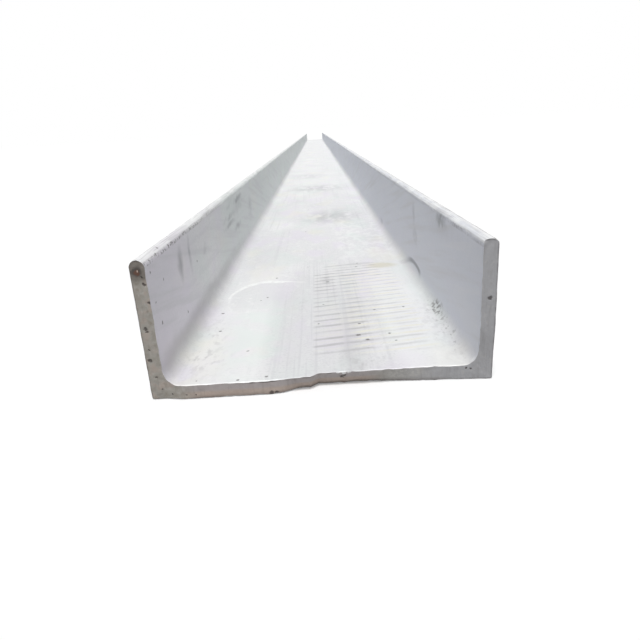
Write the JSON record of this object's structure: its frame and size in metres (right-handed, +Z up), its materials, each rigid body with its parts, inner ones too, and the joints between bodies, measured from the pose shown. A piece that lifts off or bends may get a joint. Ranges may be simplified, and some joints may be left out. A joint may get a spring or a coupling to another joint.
{
  "type": "steel c-channel",
  "caption": "Straight rolled steel channel bar with a flat web, parallel flanges, filleted roots and rounded toes, cut square to a stock length.",
  "frame": {"origin": "middle of the web's underside, halfway along the bar, which is the bottom centre of its box", "axes": "+X across the web from one flange to the other, +Y along the bar, +Z up the flanges from the web's underside to the toes"},
  "size_m": [0.18, 6, 0.075],
  "materials": {
    "pickled_steel": "acid-pickled, pale matt grey, with darker sawn ends"
  },
  "bodies": {
    "root": {"channel_bar": "pickled_steel"}
  },
  "joints": []
}
